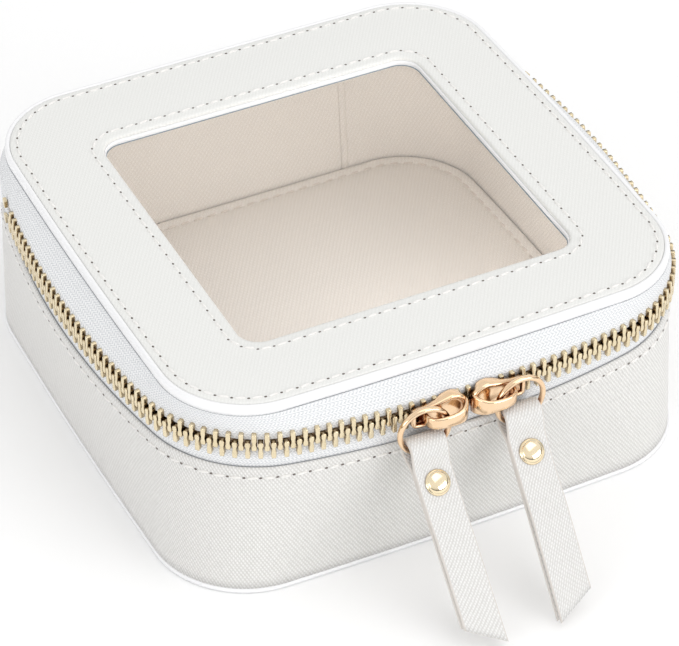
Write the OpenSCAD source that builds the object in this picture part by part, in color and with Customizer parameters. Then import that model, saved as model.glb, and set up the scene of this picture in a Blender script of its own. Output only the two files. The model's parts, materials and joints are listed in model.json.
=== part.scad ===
// Zipped travel jewelry box with a clear window in its lid.
// Origin: centre of the bottom face. X right, Y towards the hinge, Z up. Millimetres.

/* [Case] */
// Half width of the case at its bottom edge
case_half = 59; // [50:0.5:70]
// Half width of the case at its mouth
mouth_half = 62.2; // [52:0.1:74]
// Half width along the middle of the zip
zip_half = 61.3; // [52:0.1:74]
// Half width of the lid panel
lid_half = 56.9; // [48:0.1:66]
// Height of the case wall
wall_h = 31.9; // [28:0.1:34]
// Height of the middle of the zip
zip_z = 38.2; // [37.5:0.1:39]
// Height of the lower face of the lid panel's rim
lid_z = 44.7; // [44.2:0.1:47]

/* [Layers] */
// Thickness of the leatherette skins
skin_t = 0.8; // [0.6:0.1:1]
// Thickness of the stiffening boards
board_t = 1.2; // [1:0.1:1.5]
// Thickness of the lining
lining_t = 0.5; // [0.4:0.1:0.6]
// Thickness of the zip tape
tape_t = 0.6; // [0.4:0.1:0.7]
// Thickness of the floor pad's foam
foam_t = 1.2; // [0.8:0.1:2]

/* [Lid window] */
// Half width of the window opening
window_half = 37.3; // [30:0.1:42]
// Place of the window's middle, negative towards the front
window_y = -0.8; // [-2:0.1:2]
// Corner radius of the window opening
window_r = 4.8; // [3:0.1:8]
// Thickness of the clear sheet
window_t = 0.4; // [0.3:0.1:0.6]
// Width of the clear sheet's glued border
window_border = 5; // [3:0.5:8]

/* [Zip] */
// Distance between neighbouring teeth of one row
tooth_pitch = 2.45; // [2.3:0.05:2.6]
// Thickness of a tooth along the zip
tooth_t = 1; // [0.8:0.05:1.1]
// Where the rows of teeth end on the left side
teeth_end_left_y = 33; // [10:1:33]
// Where the rows of teeth end on the right side
teeth_end_right_y = 25; // [10:1:33]
// Place of the left slider's middle along the front
slider_left_x = -7.4; // [-20:0.1:-7.4]
// Place of the right slider's middle along the front
slider_right_x = 5.2; // [5.2:0.1:20]
// Centre-line radius of a pull ring
ring_r = 5.25; // [5.25:0.05:5.6]
// Radius of a pull ring's wire
wire_r = 0.6; // [0.5:0.05:0.65]

/* [Pulls] */
// Width of a leather pull
strap_w = 8.2; // [7:0.1:8.3]
// Length of a leather pull below its ring
strap_l = 39.2; // [32:0.1:39.2]
// Thickness of one layer of a pull
strap_t = 0.85; // [0.7:0.05:1]
// Angle of the pulls from vertical, with their tips on the table
strap_angle = 41.5; // [41.5:0.5:47]
// How much longer one edge of a pull is than the other
strap_slant = 5; // [0:0.5:8]
// How far a pull is turned towards the other pull, in degrees
strap_turn = 3; // [0:0.5:4]
// Radius of a rivet's cap
rivet_r = 2.65; // [2:0.05:3]

/* [Hidden] */
$fn = 48;

// Corner radius and bow of the sides at each level of the outline
bottom_r = 20.3;
mouth_r = 26.5;
zip_r = 27;
lid_r = 19.2;
bottom_bow = 0.5;
mouth_bow = 3.4;
zip_bow = 2.6;
lid_bow = 0.54;
side_r_bottom = bow_radius(case_half, bottom_r, bottom_bow);
side_r_zip = bow_radius(zip_half, zip_r, zip_bow);
side_r_lid = bow_radius(lid_half, lid_r, lid_bow);
cover_t = 1;
lip = 0.3;
floor_z = cover_t + board_t;
pad_gap = 0.4;
wall_gap = 0.05;
level_step = 5;
corner_steps = 8;
side_steps = 6;
tape_gap = 0.2;
tape_edge = 1.5;
tape_inset = skin_t;
board_top = wall_h - 1;
rim_h = 2.1;
rim_w = 1;
rim_gap = 0.15;
board_z = lid_z + 0.3;
cover_z = board_z + board_t;
window_z = board_z - window_t;
lid_lining_z = window_z - lining_t;
seam_x = 32;
seam_w = 1.5;
seam_t = 0.4;
seam_low = 0.2;
seam_high = 0.9;
stitch_pitch = 3.2;
stitch_l = 2.2;
stitch_w = 0.5;
stitch_t = 0.25;
floor_row_inset = 5.5;
floor_row_back = 34;
wall_row_back = 30;
lid_row_inset = 2.5;
lid_row_back = 36;
window_row_out = 2.7;
tooth_leg = 3;
stop_z = 2;
stop_n = 0.85;
stop_l = 1.6;
stop_t = 0.7;
stop_h = 1.6;
cavity = 1.45;
plate_t = 0.85;
slider_l = 12.4;
slider_h = 7.4;
tail_h = 4.6;
eye_n = 3.9;
eye_major = 1.3;
eye_minor = 0.5;
eye_u = 1;
eye_v = -1.2;
ring_drop = 8;
loop_clear = 0.1;
loop_top = sqrt(pow(ring_r - wire_r, 2) - pow(strap_w / 2, 2)) - loop_clear;
loop_bottom = ring_r + wire_r + loop_clear;
loop_r = (loop_bottom - loop_top) / 2;
loop_drop = (loop_bottom + loop_top) / 2;
layer_gap = 0.05;
loop_close = 4.8;
rivet_drop = 7.6;
cap_h = 1.1;
post_r = 0.8;

leather = [0.95, 0.94, 0.92];
cream = [0.93, 0.89, 0.83];
tape_white = [0.93, 0.94, 0.96];
brass = [0.87, 0.77, 0.5];
rose_gold = [0.92, 0.7, 0.56];
thread = [0.9, 0.88, 0.84];
grey_board = [0.6, 0.58, 0.55];

// ---- outline with bowed sides and a straight back ----

// Radius of a side that bows out by crown between its two corners
function bow_radius(m, r, crown) = pow(m - r, 2) / (2 * crown);

// Middle of the front corner arcs, on both axes
function corner_mid(m, r, big) =
    ((m - big) + sqrt(2 * pow(big - r, 2) - pow(m - big, 2))) / 2;

// Where the back corner arc meets the straight back
function back_end(m, r, big) = (m - big) + sqrt(pow(big - r, 2) - pow(m - r, 2));

function on_arc(cx, cy, r, a) = [cx + r * cos(a), cy + r * sin(a)];

// Right half of the outline, from the back to the middle of the front
function half_outline(m, r, big, inset) =
    let (a = corner_mid(m, r, big))
    let (t = atan2(a, a + big - m))
    let (xb = back_end(m, r, big))
    let (tb = atan2(m - r, xb + big - m))
    concat(
        [for (i = [0 : corner_steps]) on_arc(xb, m - r, r - inset, 90 + (tb - 90) * i / corner_steps)],
        [for (i = [1 : side_steps]) on_arc(m - big, 0, big - inset, tb - (tb + t) * i / side_steps)],
        [for (i = [1 : corner_steps]) on_arc(a, -a, r - inset, -t + (2 * t - 90) * i / corner_steps)],
        [for (i = [1 : 3]) on_arc(0, big - m, big - inset, -90 + t - t * i / 3)]);

function outline(m, r, big, inset = 0) =
    let (right = half_outline(m, r, big, inset))
    let (n = len(right))
    concat(right, [for (i = [n - 2 : -1 : 0]) [-right[i][0], right[i][1]]]);

function between(a, b, f) = a + (b - a) * f;

function lift(points, z) = [for (p = points) [p[0], p[1], z]];

// Half width, corner radius and side radius of the case wall, from bottom (0) to mouth (1)
function wall_level(f) =
    let (m = between(case_half, mouth_half, f))
    let (r = between(bottom_r, mouth_r, f))
    [m, r, bow_radius(m, r, between(bottom_bow, mouth_bow, f))];

function wall_ring(z, inset) =
    let (l = wall_level(z / wall_h))
    lift(outline(l[0], l[1], l[2], inset), z);

// Two triangles across the same corners of a quad, facing outwards or inwards
function facing_out(a, b, c, d) = [[a, b, c], [a, c, d]];

function facing_in(a, b, c, d) = [[a, c, b], [a, d, c]];

// Closed shell between two stacks of rings with the same heights
module shell(outer, inner) {
    n = len(outer[0]);
    k = len(outer);
    points = concat([for (ring = outer) each ring], [for (ring = inner) each ring]);
    faces = concat(
        [for (j = [0 : k - 2], i = [0 : n - 1])
            each facing_out(j * n + i, j * n + (i + 1) % n, (j + 1) * n + (i + 1) % n, (j + 1) * n + i)],
        [for (j = [k : 2 * k - 2], i = [0 : n - 1])
            each facing_in(j * n + i, j * n + (i + 1) % n, (j + 1) * n + (i + 1) % n, (j + 1) * n + i)],
        [for (i = [0 : n - 1]) [i, k * n + i, k * n + (i + 1) % n, (i + 1) % n]],
        [for (i = [0 : n - 1])
            [(k - 1) * n + i, (k - 1) * n + (i + 1) % n, (2 * k - 1) * n + (i + 1) % n, (2 * k - 1) * n + i]]);
    polyhedron(points, faces);
}

// Open band between two stacks of lines, closed at both ends
module band(outer, inner) {
    n = len(outer[0]);
    k = len(outer);
    points = concat([for (line = outer) each line], [for (line = inner) each line]);
    end_column = concat([for (j = [0 : k - 1]) j * n], [for (j = [k - 1 : -1 : 0]) (k + j) * n]);
    faces = concat(
        [for (j = [0 : k - 2], i = [0 : n - 2])
            [j * n + i, j * n + i + 1, (j + 1) * n + i + 1, (j + 1) * n + i]],
        [for (j = [0 : k - 2], i = [0 : n - 2])
            [(k + j) * n + i + 1, (k + j) * n + i, (k + j + 1) * n + i, (k + j + 1) * n + i + 1]],
        [for (i = [0 : n - 2]) [i, k * n + i, k * n + i + 1, i + 1]],
        [for (i = [0 : n - 2])
            [(k - 1) * n + i, (k - 1) * n + i + 1, (2 * k - 1) * n + i + 1, (2 * k - 1) * n + i]],
        [end_column],
        [[for (i = [len(end_column) - 1 : -1 : 0]) end_column[i] + n - 1]]);
    polyhedron(points, faces);
}

module plate(m, r, big, z, t, inset = 0) {
    translate([0, 0, z]) linear_extrude(t) polygon(outline(m, r, big, inset));
}

module window_cut(half, r, z, t) {
    translate([0, window_y, z]) linear_extrude(t) rounded_square(half, r);
}

module rounded_square(half, r) {
    square([2 * half, 2 * (half - r)], center = true);
    square([2 * (half - r), 2 * half], center = true);
    for (x = [-1, 1], y = [-1, 1]) translate([x * (half - r), y * (half - r)]) circle(r);
}

// ---- places along the outline, measured from the middle of the front ----

// [x, y, turn about Z] at the distance s along the outline
function place(s, m, r, big) =
    let (a = corner_mid(m, r, big))
    let (t = atan2(a, a + big - m))
    let (d = abs(s))
    let (side = s < 0 ? -1 : 1)
    let (front = big * t * PI / 180)
    let (corner = r * (90 - 2 * t) * PI / 180)
    d <= front ? let (w = d / big * 180 / PI) [side * big * sin(w), big - m - big * cos(w), side * w]
    : d <= front + corner ? let (w = t + (d - front) / r * 180 / PI)
        [side * (a + r * sin(w)), -a - r * cos(w), side * w]
    : let (w = 90 - t + (d - front - corner) / big * 180 / PI)
        [side * (m - big + big * sin(w)), -big * cos(w), side * w];

// Distance from the middle of the front to the depth y on a side
function run_to(y, m, r, big) =
    let (a = corner_mid(m, r, big))
    let (t = atan2(a, a + big - m))
    (big * t + r * (90 - 2 * t) + big * (t + asin(y / big))) * PI / 180;

// ---- case ----

module bottom_cover() {
    color(leather) plate(case_half, bottom_r, side_r_bottom, 0, cover_t, -lip);
}

module bottom_board() {
    color(grey_board) plate(case_half, bottom_r, side_r_bottom, cover_t, board_t, skin_t + board_t + pad_gap);
}

module floor_foam() {
    color(cream) plate(case_half, bottom_r, side_r_bottom, floor_z, foam_t,
        skin_t + board_t + lining_t + pad_gap);
}

module floor_lining() {
    color(cream) plate(case_half, bottom_r, side_r_bottom, floor_z + foam_t, lining_t,
        skin_t + board_t + lining_t + pad_gap);
}

module stitch_row(m, r, big, z, inset, back) {
    reach = run_to(back, m, r, big);
    count = floor(reach / stitch_pitch);
    for (i = [-count : count]) {
        p = place(i * stitch_pitch, m, r, big);
        translate([p[0], p[1], z]) rotate([0, 0, p[2]]) translate([0, inset, 0])
            translate([-stitch_l / 2, -stitch_w / 2, 0]) cube([stitch_l, stitch_w, stitch_t]);
    }
    straight = floor((back_end(m, r, big) - 1) / stitch_pitch);
    for (i = [-straight : straight])
        translate([i * stitch_pitch, m - inset, z])
            translate([-stitch_l / 2, -stitch_w / 2, 0]) cube([stitch_l, stitch_w, stitch_t]);
}

module floor_stitching() {
    color(thread) stitch_row(case_half, bottom_r, side_r_bottom, floor_z + foam_t + lining_t,
        floor_row_inset, floor_row_back);
}

module wall_layer(z0, z1, outer_inset, t) {
    zs = concat([z0], [for (z = [level_step : level_step : z1 - 0.5]) z], [z1]);
    shell([for (z = zs) wall_ring(z, outer_inset)], [for (z = zs) wall_ring(z, outer_inset + t)]);
}

module outer_wall() {
    color(leather) wall_layer(cover_t, wall_h, 0, skin_t);
}

module wall_board() {
    color(grey_board) wall_layer(cover_t, board_top, skin_t + wall_gap, board_t);
}

module wall_lining() {
    color(cream) wall_layer(floor_z + wall_gap, board_top, skin_t + board_t + 2 * wall_gap, lining_t);
}

module lining_seam() {
    back_low = wall_level(seam_low)[0] - skin_t - board_t - lining_t - 3 * wall_gap;
    back_high = wall_level(seam_high)[0] - skin_t - board_t - lining_t - 3 * wall_gap;
    color(cream) translate([seam_x - seam_w, 0, 0]) rotate([90, 0, 90]) linear_extrude(seam_w)
        polygon([[back_low - seam_t, seam_low * wall_h], [back_low, seam_low * wall_h],
                 [back_high, seam_high * wall_h], [back_high - seam_t, seam_high * wall_h]]);
}

module wall_stitching() {
    drop = 2.4;
    l = wall_level((wall_h - drop) / wall_h);
    reach = run_to(wall_row_back, l[0], l[1], l[2]);
    count = floor(reach / stitch_pitch);
    color(thread) for (i = [-count : count]) {
        p = place(i * stitch_pitch, l[0], l[1], l[2]);
        translate([p[0], p[1], wall_h - drop]) rotate([0, 0, p[2]])
            translate([-stitch_l / 2, -0.1 - stitch_t, -stitch_w / 2]) cube([stitch_l, stitch_t, stitch_w]);
    }
}

// ---- zip ----

// Tape outline at a height: the mouth below, the zip in the middle, the lid above
function tape_ring(z, inset) =
    let (low = mouth_half - tape_inset)
    let (low_r = mouth_r - tape_inset)
    let (straight = 3)
    z < zip_z - straight
    ? let (f = (z - wall_h) / (zip_z - straight - wall_h))
        let (m = between(low, zip_half + tape_t / 2, f))
        let (r = between(low_r, zip_r + tape_t / 2, f))
        lift(outline(m, r, bow_radius(m, r, between(mouth_bow, zip_bow, f)), inset), z)
    : z <= zip_z + straight
    ? lift(outline(zip_half, zip_r, side_r_zip, inset - tape_t / 2), z)
    : let (f = (z - zip_z - straight) / (lid_z - zip_z - straight))
        let (m = between(zip_half + tape_t / 2, lid_half, f))
        let (r = between(zip_r + tape_t / 2, lid_r, f))
        lift(outline(m, r, bow_radius(m, r, between(zip_bow, lid_bow, f)), inset), z);

function teeth_end(side) = side < 0 ? teeth_end_left_y : teeth_end_right_y;

// The free edge of a tape dips away from the middle of the zip where it carries teeth
function tape_edge_line(inset, sign) =
    [for (p = tape_ring(zip_z, inset))
        [p[0], p[1], zip_z + sign * (p[1] < teeth_end(p[0]) + 3 ? tape_edge : tape_gap / 2)]];

module lower_tape() {
    zs = [wall_h + 0.01, zip_z - 3];
    color(tape_white) band(
        concat([for (z = zs) tape_ring(z, 0)], [tape_edge_line(0, -1)]),
        concat([for (z = zs) tape_ring(z, tape_t)], [tape_edge_line(tape_t, -1)]));
}

module upper_tape() {
    zs = [zip_z + 3, lid_z - 0.01];
    color(tape_white) band(
        concat([tape_edge_line(0, 1)], [for (z = zs) tape_ring(z, 0)]),
        concat([tape_edge_line(tape_t, 1)], [for (z = zs) tape_ring(z, tape_t)]));
}

module tooth(sign) {
    slot = tape_t / 2 + 0.17;
    rotate([90, 0, 90]) translate([0, 0, -tooth_t / 2]) linear_extrude(tooth_t)
        polygon([for (p = [[-1.2, -tooth_leg], [-slot, -tooth_leg], [-slot, -tape_edge + 0.02],
            [slot, -tape_edge + 0.02], [slot, -tooth_leg], [1.2, -tooth_leg], [1.2, 0.1], [0.8, 0.7],
            [-0.8, 0.7], [-1.2, 0.1]]) [p[0], sign * p[1]]]);
}

module teeth_row(sign, shift) {
    left = floor(run_to(teeth_end(-1), zip_half, zip_r, side_r_zip) / tooth_pitch);
    right = floor(run_to(teeth_end(1), zip_half, zip_r, side_r_zip) / tooth_pitch);
    for (i = [-left : right - 1]) {
        p = place((i + shift) * tooth_pitch, zip_half, zip_r, side_r_zip);
        translate([p[0], p[1], zip_z]) rotate([0, 0, p[2]]) tooth(sign);
    }
}

module lower_teeth() {
    color(brass) teeth_row(1, 0.25);
}

module upper_teeth() {
    color(brass) teeth_row(-1, 0.75);
}

module end_stops(sign) {
    for (side = [-1, 1]) {
        p = place(side * run_to(teeth_end(side) + 1, zip_half, zip_r, side_r_zip), zip_half, zip_r, side_r_zip);
        translate([p[0], p[1], zip_z + sign * stop_z]) rotate([0, 0, p[2]])
            for (face = [-1, 1]) translate([0, face * stop_n, 0]) cube([stop_l, stop_t, stop_h], center = true);
    }
}

module lower_end_stops() {
    color(brass) end_stops(-1);
}

module upper_end_stops() {
    color(brass) end_stops(1);
}

// Ends of the back straight of one level, from left to right
function back_line(line) =
    let (first = line[0])
    [[0.05 - first[0], first[1], first[2]], [first[0] - 0.05, first[1], first[2]]];

module hinge_strip_lower() {
    zs = [wall_h + 0.01, zip_z - 3];
    color(leather) band(
        concat([for (z = zs) back_line(tape_ring(z, 0))], [back_line(tape_edge_line(0, -1))]),
        concat([for (z = zs) back_line(tape_ring(z, tape_t))], [back_line(tape_edge_line(tape_t, -1))]));
}

module hinge_strip_upper() {
    zs = [zip_z + 3, lid_z - 0.01];
    color(leather) band(
        concat([back_line(tape_edge_line(0, 1))], [for (z = zs) back_line(tape_ring(z, 0))]),
        concat([back_line(tape_edge_line(tape_t, 1))], [for (z = zs) back_line(tape_ring(z, tape_t))]));
}

// ---- lid ----

module lid_frame(z, t, inset, opening, r) {
    color(leather) difference() {
        plate(lid_half, lid_r, side_r_lid, z, t, inset);
        window_cut(opening, r, z - 1, t + 2);
    }
}

module lid_cover() {
    lid_frame(cover_z, skin_t, rim_w + rim_gap, window_half, window_r);
}

module lid_rim() {
    color(leather) difference() {
        plate(lid_half, lid_r, side_r_lid, lid_z, rim_h);
        plate(lid_half, lid_r, side_r_lid, lid_z - 1, rim_h + 2, rim_w);
    }
}

module lid_board() {
    lid_frame(board_z, board_t, rim_w + rim_gap, window_half + 0.3, window_r);
}

module lid_lining() {
    lid_frame(lid_lining_z, lining_t, rim_w + rim_gap, window_half + 0.6, window_r);
}

module window() {
    color([0.85, 0.92, 0.95, 0.4]) window_cut(window_half + window_border, window_r, window_z, window_t);
}

module lid_stitching() {
    color(thread) stitch_row(lid_half, lid_r, side_r_lid, cover_z + skin_t, lid_row_inset, lid_row_back);
}

module window_stitching() {
    row = window_half + window_row_out;
    count = floor((row - window_r) / stitch_pitch);
    color(thread) for (turn = [0 : 3], i = [-count : count])
        translate([0, window_y, cover_z + skin_t]) rotate([0, 0, 90 * turn]) translate([i * stitch_pitch, -row, 0])
            translate([-stitch_l / 2, -stitch_w / 2, 0]) cube([stitch_l, stitch_w, stitch_t]);
}

// ---- sliders and pulls; side is -1 on the left and 1 on the right ----

module at_slider(side) {
    p = place(side < 0 ? slider_left_x : slider_right_x, zip_half, zip_r, side_r_zip);
    translate([p[0], p[1], zip_z]) rotate([0, 0, p[2]]) children();
}

// Outline of a slider with its round nose towards the middle of the front
function slider_outline(side, grow) =
    let (nose = slider_h / 2 + grow)
    let (centre = slider_l / 2 - slider_h / 2)
    [for (p = concat([[-slider_l / 2 - grow, tail_h / 2 + grow], [-slider_l / 2 - grow, -tail_h / 2 - grow]],
        [for (i = [0 : 12]) [centre + nose * cos(-100 + 200 * i / 12), nose * sin(-100 + 200 * i / 12)]]))
        [-side * p[0], p[1]]];

module slider_plate(side, n0, t, grow = 0) {
    translate([0, -n0, 0]) rotate([90, 0, 0]) linear_extrude(t) polygon(slider_outline(side, grow));
}

// Frame of a pull ring: origin where the ring passes through the eye
module at_eye(side) {
    at_slider(side) translate([-side * eye_u, -eye_n, eye_v]) children();
}

module slider(side) {
    color(rose_gold) {
        at_slider(side) {
            slider_plate(side, cavity, plate_t);
            difference() {
                slider_plate(side, cavity + plate_t - 0.05, 0.9);
                slider_plate(side, cavity, 3, -0.8);
                translate([side * 8.5 - 7, -6, -6]) cube([14, 6, 12]);
            }
        }
        at_eye(side) rotate([0, side * ring_drop, 0]) rotate_extrude() translate([eye_major, 0]) circle(eye_minor);
    }
}

module slider_left() {
    slider(-1);
}

module slider_right() {
    slider(1);
}

module slider_back(side) {
    color(rose_gold) at_slider(side) slider_plate(side, -cavity - 0.8, 0.8, -0.4);
}

module slider_back_left() {
    slider_back(-1);
}

module slider_back_right() {
    slider_back(1);
}

// Middle of a ring, below and outside its eye
module at_ring(side) {
    at_eye(side) translate([side * ring_r * cos(ring_drop), 0, -ring_r * sin(ring_drop)]) children();
}

module ring(side) {
    color(rose_gold) at_ring(side) rotate([90, 0, 0]) rotate_extrude() translate([ring_r, 0]) circle(wire_r);
}

module ring_left() {
    ring(-1);
}

module ring_right() {
    ring(1);
}

// Strap frame: X across, Z along the strap, origin in the middle of its loop
module at_strap(side) {
    at_ring(side) translate([0, 0, -loop_drop]) rotate([-strap_angle, 0, -side * strap_turn]) children();
}

// One layer of the loop and the strap below it, seen from the side
module strap_profile() {
    outer = loop_r + strap_t;
    difference() {
        union() {
            circle(outer);
            polygon([[-outer, 0], [-strap_t - layer_gap, -loop_close], [strap_t + layer_gap, -loop_close],
                [outer, 0]]);
            translate([-strap_t - layer_gap, -strap_l - strap_slant / 2])
                square([2 * (strap_t + layer_gap), strap_l + strap_slant / 2 - loop_close]);
        }
        circle(loop_r);
        polygon([[-loop_r, 0], [-layer_gap, -loop_close], [layer_gap, -loop_close], [loop_r, 0]]);
        translate([-layer_gap, -strap_l - strap_slant]) square([2 * layer_gap, strap_l + strap_slant - loop_close + 0.1]);
    }
}

module strap(side) {
    cut = strap_w / 2 + 1;
    low = -strap_l - strap_slant * cut / strap_w;
    high = -strap_l + strap_slant * cut / strap_w;
    color(leather) at_strap(side) difference() {
        rotate([90, 0, 90]) translate([0, 0, -strap_w / 2]) linear_extrude(strap_w) strap_profile();
        rotate([90, 0, 0]) translate([0, 0, -5]) linear_extrude(10)
            polygon([[-side * cut, low], [side * cut, high], [side * cut, low - 1], [-side * cut, low - 1]]);
        rotate([90, 0, 0]) translate([0, -rivet_drop, -5]) cylinder(r = post_r, h = 10);
    }
}

module strap_left() {
    strap(-1);
}

module strap_right() {
    strap(1);
}

// Domed cap with its post; the cap sits on the front layer
module rivet(side) {
    face = strap_t + layer_gap;
    dome = (pow(rivet_r, 2) + pow(cap_h, 2)) / (2 * cap_h);
    color(brass) at_strap(side) translate([0, 0, -rivet_drop]) rotate([90, 0, 0]) {
        translate([0, 0, face]) rotate_extrude() intersection() {
            translate([0, cap_h - dome]) circle(dome);
            square([rivet_r, cap_h]);
        }
        translate([0, 0, -face]) cylinder(r = post_r, h = 2 * face + 0.2);
    }
}

module rivet_left() {
    rivet(-1);
}

module rivet_right() {
    rivet(1);
}

module rivet_back(side) {
    face = strap_t + layer_gap;
    color(brass) at_strap(side) translate([0, 0, -rivet_drop]) rotate([-90, 0, 0])
        translate([0, 0, face]) cylinder(r1 = rivet_r, r2 = rivet_r - 0.4, h = 0.5);
}

module rivet_back_left() {
    rivet_back(-1);
}

module rivet_back_right() {
    rivet_back(1);
}

bottom_cover();
bottom_board();
floor_foam();
floor_lining();
floor_stitching();
outer_wall();
wall_board();
wall_lining();
lining_seam();
wall_stitching();
lower_tape();
lower_teeth();
lower_end_stops();
hinge_strip_lower();
lid_cover();
lid_rim();
lid_board();
lid_lining();
window();
lid_stitching();
window_stitching();
upper_tape();
upper_teeth();
upper_end_stops();
hinge_strip_upper();
slider_left();
slider_back_left();
ring_left();
strap_left();
rivet_left();
rivet_back_left();
slider_right();
slider_back_right();
ring_right();
strap_right();
rivet_right();
rivet_back_right();
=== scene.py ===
import json
import math

import bmesh
import bpy
import numpy as np
from mathutils import Matrix, Vector


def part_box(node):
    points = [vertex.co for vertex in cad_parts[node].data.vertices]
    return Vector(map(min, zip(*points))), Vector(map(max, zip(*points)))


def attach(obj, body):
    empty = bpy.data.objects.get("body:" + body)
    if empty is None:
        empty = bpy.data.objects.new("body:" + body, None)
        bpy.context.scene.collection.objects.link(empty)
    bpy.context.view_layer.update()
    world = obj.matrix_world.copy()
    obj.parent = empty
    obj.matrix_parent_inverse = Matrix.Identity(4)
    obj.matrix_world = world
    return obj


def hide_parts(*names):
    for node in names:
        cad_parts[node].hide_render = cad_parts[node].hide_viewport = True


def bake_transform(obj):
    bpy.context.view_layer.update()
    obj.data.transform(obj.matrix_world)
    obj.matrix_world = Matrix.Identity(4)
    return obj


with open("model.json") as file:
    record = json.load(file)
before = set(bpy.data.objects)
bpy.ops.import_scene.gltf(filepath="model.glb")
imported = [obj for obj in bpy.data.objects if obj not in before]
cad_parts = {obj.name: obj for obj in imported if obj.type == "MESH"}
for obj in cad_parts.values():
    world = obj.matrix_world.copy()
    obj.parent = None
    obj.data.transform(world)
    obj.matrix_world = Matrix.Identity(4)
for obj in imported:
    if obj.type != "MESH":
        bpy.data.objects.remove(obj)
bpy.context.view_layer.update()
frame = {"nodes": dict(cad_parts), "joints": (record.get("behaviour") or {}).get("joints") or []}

MM = 0.001
JOINTS = {joint["name"]: joint for joint in frame["joints"]}
rng = np.random.default_rng(7)

# ---- sizes from the frame, in millimetres ----


def low(node):
    return np.array(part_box(node)[0]) / MM


def high(node):
    return np.array(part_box(node)[1]) / MM


def joint_place(name):
    return np.array(JOINTS[name]["pos_m"]) / MM


LIP = 0.3
TAPE_T = 0.6
LEATHER_T = 0.8
BOARD_T = 1.2
LINING_T = 0.5
CASE_HALF = high("bottom_cover")[0] - LIP
COVER_T = high("bottom_cover")[2]
MOUTH_HALF = high("outer_wall")[0]
WALL_H = high("outer_wall")[2]
BOARD_TOP = high("wall_board")[2]
FLOOR_Z = high("bottom_board")[2]
PAD_TOP = high("floor_lining")[2]
LID_HALF = high("lid_rim")[0]
RIM_Z = low("lid_rim")[2]
LID_TOP = high("lid_cover")[2]
LID_BOARD_TOP = high("lid_board")[2]
WINDOW_TOP = high("window")[2]
WINDOW_LOW = low("window")[2]
WINDOW_OUT = high("window")[0]
ZIP_Z = joint_place("lid_hinge")[2]
ZIP_HALF = high("upper_tape")[0] - TAPE_T / 2
TEETH_END_Y = {-1: 33.0, 1: 25.0}
WINDOW_HALF = 37.3
WINDOW_Y = (low("window")[1] + high("window")[1]) / 2
WINDOW_R = 4.8
CASE_R, MOUTH_R, ZIP_R, LID_R = 20.3, 26.5, 27.0, 19.2
CASE_BOW, MOUTH_BOW, ZIP_BOW, LID_BOW = 0.5, 3.4, 2.6, 0.54
TOOTH_PITCH = 2.45
STITCH_PITCH = 3.3
TAPE_EDGE = 1.1
TAPE_STRAIGHT = 3.0
BACK_STEPS = 16
WALL_ROW_DROP = 2.3
LID_ROW_INSET = 2.7
WINDOW_ROW_OUT = 2.4
FLOOR_ROW_INSET = 2.5
SHADOW_LINE_R = 0.11
BRIDGE_T = 0.85
STRAP_ANGLE = math.radians(41.5)
STRAP_SLANT = 5.0
STRAP_T = 0.85
STRAP_W = 8.2
STRAP_CLOSE = 4.9
EDGE_POINTS = 7
LOOP_R = 1.9
WIRE_R = 0.62
RIVET_DROP = 7.6

# ---- outlines: bowed sides, round corners and a straight back ----


def arc(cx, cy, r, a0, a1, steps):
    angles = np.radians(np.linspace(a0, a1, steps + 1))
    return np.column_stack([cx + r * np.cos(angles), cy + r * np.sin(angles)])


def outline(m, r, bow, inset=0.0, corner=20, side=16):
    """Closed outline from the right end of the back round the front; inset moves it inwards."""
    big = (m - r) ** 2 / (2 * bow)
    a = ((m - big) + math.sqrt(2 * (big - r) ** 2 - (m - big) ** 2)) / 2
    t = math.degrees(math.atan2(a, a + big - m))
    xb = (m - big) + math.sqrt((big - r) ** 2 - (m - r) ** 2)
    tb = math.degrees(math.atan2(m - r, xb + big - m))
    right = np.vstack([
        arc(xb, m - r, r - inset, 90, tb, corner),
        arc(m - big, 0, big - inset, tb, -t, side)[1:],
        arc(a, -a, r - inset, -t, t - 90, corner)[1:],
        arc(0, big - m, big - inset, t - 90, -90, side // 2)[1:]])
    left = right[-2::-1] * [-1, 1]
    ends = np.linspace(left[-1], right[0], BACK_STEPS + 1)[1:-1]
    return np.vstack([right, left, ends])


def at_height(points, z):
    return np.column_stack([points, np.full(len(points), z)])


def mix(a, b, f):
    return a + (b - a) * f


def smoothstep(f):
    return f * f * (3 - 2 * f)


def wall_ring(z, inset):
    f = z / WALL_H
    m = mix(CASE_HALF, MOUTH_HALF, f)
    r = mix(CASE_R, MOUTH_R, f)
    return at_height(outline(m, r, mix(CASE_BOW, MOUTH_BOW, f), inset), z)


def lid_ring(z, inset):
    return at_height(outline(LID_HALF, LID_R, LID_BOW, inset), z)


def window_ring(z, inset, half=WINDOW_HALF):
    return at_height(outline(half, WINDOW_R, 0.02, inset) + [0, WINDOW_Y], z)


def tape_ring(z, inset):
    """Outline of the zip tapes at a height: mouth below, zip in the middle, lid above."""
    low_half = MOUTH_HALF - LEATHER_T
    low_r = MOUTH_R - LEATHER_T
    mid_half = ZIP_HALF + TAPE_T / 2
    mid_r = ZIP_R + TAPE_T / 2
    if z < ZIP_Z - TAPE_STRAIGHT:
        f = (z - WALL_H) / (ZIP_Z - TAPE_STRAIGHT - WALL_H)
        f = max(f, -0.3)
        m, r, bow = mix(low_half, mid_half, f), mix(low_r, mid_r, f), mix(MOUTH_BOW, ZIP_BOW, f)
    elif z <= ZIP_Z + TAPE_STRAIGHT:
        m, r, bow = mid_half, mid_r, ZIP_BOW
    else:
        f = (z - ZIP_Z - TAPE_STRAIGHT) / (RIM_Z - ZIP_Z - TAPE_STRAIGHT)
        m, r, bow = mix(mid_half, LID_HALF, f), mix(mid_r, LID_R, f), mix(ZIP_BOW, LID_BOW, f)
    return at_height(outline(m, r, bow, inset), z)


# ---- meshes ----


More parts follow.
